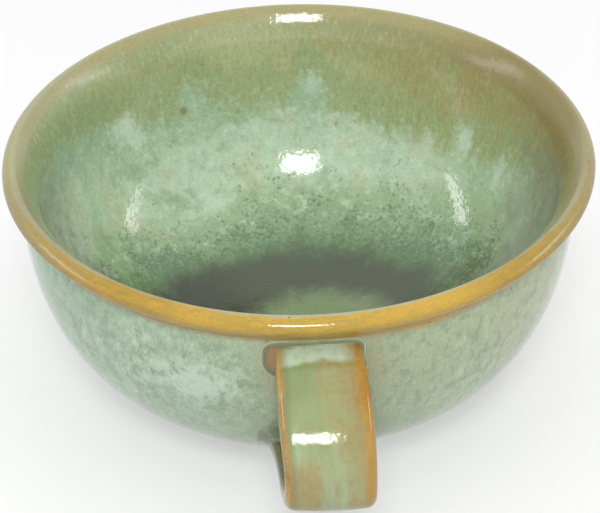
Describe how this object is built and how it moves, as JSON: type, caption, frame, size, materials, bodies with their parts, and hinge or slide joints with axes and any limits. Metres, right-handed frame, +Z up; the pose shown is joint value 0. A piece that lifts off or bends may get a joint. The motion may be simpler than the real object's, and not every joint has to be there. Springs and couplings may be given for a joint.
{
  "type": "tea bowl",
  "caption": "Wide round stoneware tea bowl with a turned-out lip, a foot ring and a small strap handle luted under the rim, for holding and drinking tea.",
  "frame": {"origin": "on the resting plane, at the middle of the outline seen from above, handle included", "axes": "+Z up along the bowl's axis, which stands 10 mm behind the origin at Y = +0.010; the handle points along -Y"},
  "size_m": [0.13, 0.15, 0.06],
  "materials": {
    "bowl_glaze": "gloss",
    "bare_stoneware": "matte",
    "handle_glaze": "gloss",
    "collar_glaze": "gloss"
  },
  "bodies": {
    "root": {"bowl_body": "bowl_glaze", "foot_ring": "bare_stoneware", "handle_strap": "handle_glaze", "upper_slip_collar": "collar_glaze", "lower_slip_collar": "collar_glaze"}
  },
  "joints": []
}
